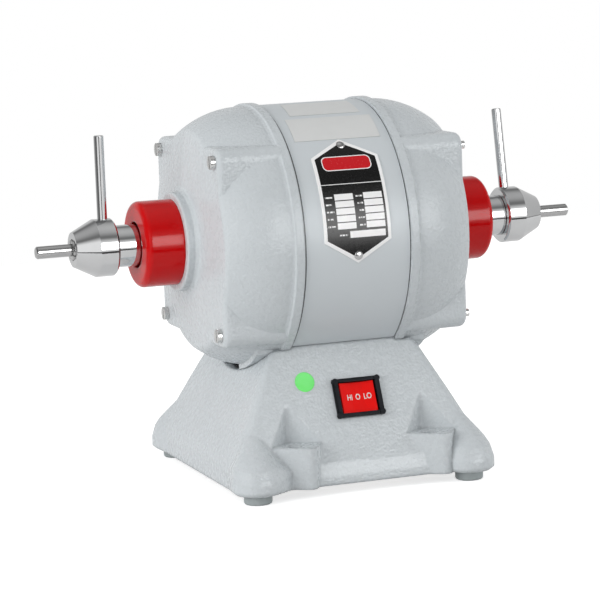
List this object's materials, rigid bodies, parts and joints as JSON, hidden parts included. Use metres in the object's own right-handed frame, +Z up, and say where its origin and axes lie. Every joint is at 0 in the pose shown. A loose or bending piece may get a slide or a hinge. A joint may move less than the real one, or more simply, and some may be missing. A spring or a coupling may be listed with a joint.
{
  "type": "bench grinder",
  "caption": "Double-ended bench grinder motor on a cast pedestal, with red hub caps, collet chucks, tommy bars, arbor pins and a rocker switch.",
  "frame": {"origin": "middle of the footprint on the bench, at the bottom of the rubber feet", "axes": "X along the spindle, +X to the right of someone facing the switch; +Y to the back; +Z up"},
  "size_m": [0.3712, 0.1978, 0.2437],
  "materials": {
    "casting_paint": "light grey hammertone enamel",
    "shell_paint": "smooth light grey enamel",
    "red_enamel": "deep glossy red",
    "chrome": "bright polished",
    "steel": "ground steel",
    "zinc_steel": "zinc plated",
    "dark_steel": "black oxide",
    "laminations": "bare electrical steel",
    "die_cast": "as cast",
    "copper": "varnished copper",
    "foot_rubber": "moulded, matt",
    "black_rubber": "moulded, matt",
    "black_plastic": "fine texture",
    "red_plastic": "glossy, translucent",
    "wire_pvc": "insulation",
    "plate_black": "printed aluminium, satin",
    "label_white": "satin film",
    "sticker_green": "matt paper"
  },
  "bodies": {
    "motor_frame": {"pedestal": "casting_paint", "bottom_plate": "zinc_steel", "bottom_plate_screws": "zinc_steel", "rubber_feet": "foot_rubber", "foot_screws": "zinc_steel", "cord_bushing": "black_rubber", "switch_housing": "black_plastic", "run_capacitor": "black_plastic", "capacitor_clamp": "zinc_steel", "clamp_screws": "zinc_steel", "motor_bolts": "zinc_steel", "lead_grommet": "black_rubber", "lead_wires": "wire_pvc", "stator_shell": "shell_paint", "stator_core": "laminations", "stator_windings": "copper", "left_end_bell": "casting_paint", "right_end_bell": "casting_paint", "through_bolts": "zinc_steel", "left_bearing_outer": "steel", "right_bearing_outer": "steel", "bearing_spacer": "zinc_steel", "wave_washer": "steel", "left_hub_cap": "red_enamel", "right_hub_cap": "red_enamel", "rating_plate": "plate_black", "rating_plate_rivets": "steel", "shell_labels": "label_white", "inspection_sticker": "sticker_green"},
    "spindle": {"spindle_shaft": "steel", "rotor_core": "laminations", "rotor_end_rings": "die_cast", "left_bearing_inner": "steel", "right_bearing_inner": "steel", "snap_rings": "dark_steel", "left_chuck_body": "chrome", "right_chuck_body": "chrome", "chuck_set_screws": "dark_steel", "left_collet": "steel", "right_collet": "steel"},
    "left_bearing_cage": {"left_bearing_balls": "steel"},
    "right_bearing_cage": {"right_bearing_balls": "steel"},
    "left_chuck_nose": {"left_nose": "chrome"},
    "right_chuck_nose": {"right_nose": "chrome"},
    "left_arbor_pin": {"left_arbor": "steel"},
    "right_arbor_pin": {"right_arbor": "steel"},
    "left_bar": {"left_tommy_bar": "chrome"},
    "right_bar": {"right_tommy_bar": "chrome"},
    "rocker": {"switch_rocker": "red_plastic"}
  },
  "joints": [
    {"name": "spindle_spin", "type": "hinge", "parent": "motor_frame", "child": "spindle", "pos_m": [0, 0, 0.158], "axis": [1, 0, 0], "continuous": true},
    {"name": "left_cage_spin", "type": "hinge", "parent": "motor_frame", "child": "left_bearing_cage", "pos_m": [0, 0, 0.158], "axis": [1, 0, 0], "continuous": true},
    {"name": "right_cage_spin", "type": "hinge", "parent": "motor_frame", "child": "right_bearing_cage", "pos_m": [0, 0, 0.158], "axis": [1, 0, 0], "continuous": true},
    {"name": "left_nose_turn", "type": "hinge", "parent": "spindle", "child": "left_chuck_nose", "pos_m": [0, 0, 0.158], "axis": [1, 0, 0], "range_deg": [0, 270]},
    {"name": "right_nose_turn", "type": "hinge", "parent": "spindle", "child": "right_chuck_nose", "pos_m": [0, 0, 0.158], "axis": [1, 0, 0], "range_deg": [0, 270]},
    {"name": "left_arbor_slide", "type": "slide", "parent": "spindle", "child": "left_arbor_pin", "axis": [-1, 0, 0], "range_m": [0, 0.036]},
    {"name": "right_arbor_slide", "type": "slide", "parent": "spindle", "child": "right_arbor_pin", "axis": [1, 0, 0], "range_m": [0, 0.036]},
    {"name": "left_bar_lift", "type": "slide", "parent": "left_chuck_nose", "child": "left_bar", "axis": [0, 0, 1], "range_m": [0, 0.02]},
    {"name": "right_bar_lift", "type": "slide", "parent": "right_chuck_nose", "child": "right_bar", "axis": [0, 0.1736, 0.9848], "range_m": [0, 0.02]},
    {"name": "rocker_tip", "type": "hinge", "parent": "motor_frame", "child": "rocker", "pos_m": [0.003, -0.06416, 0.05627], "axis": [0, 0.4091, 0.9125], "range_deg": [-9, 9]}
  ],
  "couplings": [
    {"joint": "left_cage_spin", "follows": "spindle_spin", "ratio": 0.38158},
    {"joint": "right_cage_spin", "follows": "spindle_spin", "ratio": 0.38158}
  ]
}
